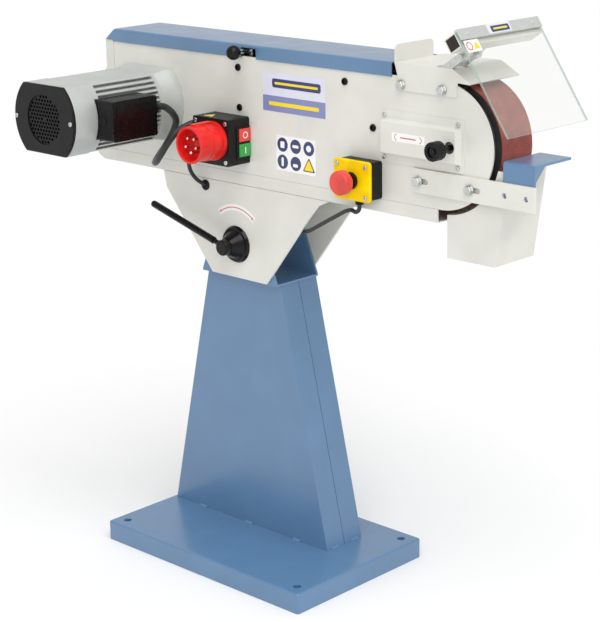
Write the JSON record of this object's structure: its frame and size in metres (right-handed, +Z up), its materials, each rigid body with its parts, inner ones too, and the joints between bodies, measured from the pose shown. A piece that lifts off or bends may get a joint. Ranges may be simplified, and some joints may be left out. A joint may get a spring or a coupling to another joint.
{
  "type": "pedestal belt grinder",
  "caption": "Belt grinder on a tapered pedestal: tilting arm with motor, abrasive belt over two wheels, hinged covers, spark shield, work table, dust box and controls.",
  "frame": {"origin": "centre of the four floor bolt holes, on the underside of the base", "axes": "+Z up; +X along the level arm, towards the contact wheel; -Y towards the motor and the controls"},
  "size_m": [1.01, 0.4204, 0.9835],
  "materials": {
    "blue_paint": "satin powder coat",
    "light_paint": "satin powder coat",
    "steel": "bright steel",
    "zinc_steel": "zinc plated",
    "black_steel": "black oxide",
    "cast_aluminium": "as cast",
    "motor_grey": "grey enamel",
    "black_plastic": "moulded",
    "black_gloss_plastic": "moulded, glossy",
    "red_plastic": "moulded",
    "green_plastic": "moulded",
    "yellow_plastic": "moulded",
    "brass_pins": "nickel plated",
    "tyre_rubber": "moulded",
    "cable_rubber": "sheathed",
    "abrasive": "coated abrasive cloth",
    "clear_plate": "clear polycarbonate",
    "spring_steel": "spring wire",
    "graphite": "graphite faced"
  },
  "bodies": {
    "stand": {"base_plate": "blue_paint", "column_front_shell": "blue_paint", "column_back_shell": "blue_paint", "saddle": "blue_paint", "pivot_bolt": "steel"},
    "clamp_lever": {"clamp_lever_hub": "black_plastic", "clamp_lever_handle": "black_gloss_plastic"},
    "arm": {"front_panel": "light_paint", "bottom_tray": "light_paint", "end_hood": "light_paint", "rear_rail": "light_paint", "tilt_brackets": "light_paint", "guide_rail": "zinc_steel", "tension_spring": "spring_steel", "platen": "graphite", "abrasive_belt": "abrasive", "wheel_guard": "light_paint", "hex_bolts": "zinc_steel", "shield_hinge": "zinc_steel", "tracking_cover": "light_paint", "panel_screws": "black_steel", "pan_head_screws": "zinc_steel", "motor_body": "motor_grey", "motor_end_shield": "motor_grey", "fan_cover": "motor_grey", "fan_end_cap": "black_plastic", "terminal_box": "black_gloss_plastic", "terminal_box_lid": "black_gloss_plastic", "switch_box": "black_gloss_plastic", "cee_inlet": "red_plastic", "cee_pins": "brass_pins", "estop_box": "black_plastic", "estop_plate": "yellow_plastic", "estop_collar": "black_plastic", "cable_glands": "black_plastic", "motor_cable": "cable_rubber", "control_cable": "cable_rubber"},
    "drive": {"drive_wheel": "cast_aluminium", "motor_shaft": "steel", "motor_fan": "black_plastic"},
    "carriage": {"contact_carriage": "zinc_steel", "contact_axle": "steel"},
    "contact_wheel": {"contact_wheel_core": "cast_aluminium", "contact_wheel_tyre": "tyre_rubber", "contact_bearings": "steel"},
    "tension_lever": {"tension_lever": "zinc_steel", "tension_knob": "black_gloss_plastic"},
    "top_cover": {"top_cover": "blue_paint"},
    "rear_door": {"rear_door": "light_paint", "door_knob": "black_plastic"},
    "spark_shield": {"shield_glass": "clear_plate", "shield_bar": "light_paint", "shield_strip": "motor_grey"},
    "tool_rest": {"tool_rest_bar": "light_paint", "tool_rest_table": "blue_paint"},
    "dust_box": {"dust_box": "light_paint"},
    "estop_mushroom": {"estop_mushroom": "red_plastic"},
    "start_button": {"start_button": "green_plastic"},
    "stop_button": {"stop_button": "red_plastic"},
    "tracking_knob": {"tracking_knob": "black_gloss_plastic"}
  },
  "joints": [
    {"name": "arm_tilt", "type": "hinge", "parent": "stand", "child": "arm", "pos_m": [-0.038, 0.045, 0.565], "axis": [0, -1, 0], "range_deg": [0, 45]},
    {"name": "clamp_lever_turn", "type": "hinge", "parent": "stand", "child": "clamp_lever", "pos_m": [-0.038, -0.03, 0.565], "axis": [0, -1, 0], "range_deg": [0, 60]},
    {"name": "drive_spin", "type": "hinge", "parent": "arm", "child": "drive", "pos_m": [-0.24557, 0.0475, 0.795], "axis": [0, 1, 0], "continuous": true},
    {"name": "carriage_slide", "type": "slide", "parent": "arm", "child": "carriage", "axis": [-1, 0, 0], "range_m": [0, 0.006]},
    {"name": "contact_spin", "type": "hinge", "parent": "carriage", "child": "contact_wheel", "pos_m": [0.418, 0.0475, 0.795], "axis": [0, 1, 0], "continuous": true},
    {"name": "tension_lever_swing", "type": "hinge", "parent": "arm", "child": "tension_lever", "pos_m": [-0.008, 0, 0.842], "axis": [0, 1, 0], "range_deg": [0, 20]},
    {"name": "top_cover_hinge", "type": "hinge", "parent": "arm", "child": "top_cover", "pos_m": [0, 0.104, 0.897], "axis": [-1, 0, 0], "range_deg": [0, 100]},
    {"name": "rear_door_hinge", "type": "hinge", "parent": "arm", "child": "rear_door", "pos_m": [0, 0.101, 0.692], "axis": [-1, 0, 0], "range_deg": [0, 90]},
    {"name": "shield_hinge_turn", "type": "hinge", "parent": "arm", "child": "spark_shield", "pos_m": [0.456, 0.0475, 0.936], "axis": [0, -1, 0], "range_deg": [0, 60]},
    {"name": "tool_rest_slide", "type": "slide", "parent": "arm", "child": "tool_rest", "axis": [-1, 0, 0], "range_m": [0, 0.015]},
    {"name": "dust_box_slide", "type": "slide", "parent": "arm", "child": "dust_box", "axis": [0, 0, -1], "range_m": [0, 0.12]},
    {"name": "estop_push", "type": "slide", "parent": "arm", "child": "estop_mushroom", "axis": [0, 1, 0], "range_m": [0, 0.006], "stiffness_N_per_m": 600},
    {"name": "start_push", "type": "slide", "parent": "arm", "child": "start_button", "axis": [-1, 0, 0], "range_m": [0, 0.003], "stiffness_N_per_m": 400},
    {"name": "stop_push", "type": "slide", "parent": "arm", "child": "stop_button", "axis": [-1, 0, 0], "range_m": [0, 0.003], "stiffness_N_per_m": 400},
    {"name": "tracking_turn", "type": "hinge", "parent": "arm", "child": "tracking_knob", "pos_m": [0.443, -0.03, 0.797], "axis": [0, -1, 0], "range_deg": [-180, 180]}
  ],
  "couplings": [
    {"joint": "contact_spin", "follows": "drive_spin", "ratio": 1.125},
    {"joint": "tension_lever_swing", "follows": "carriage_slide", "rad_per_m": 58.12}
  ]
}
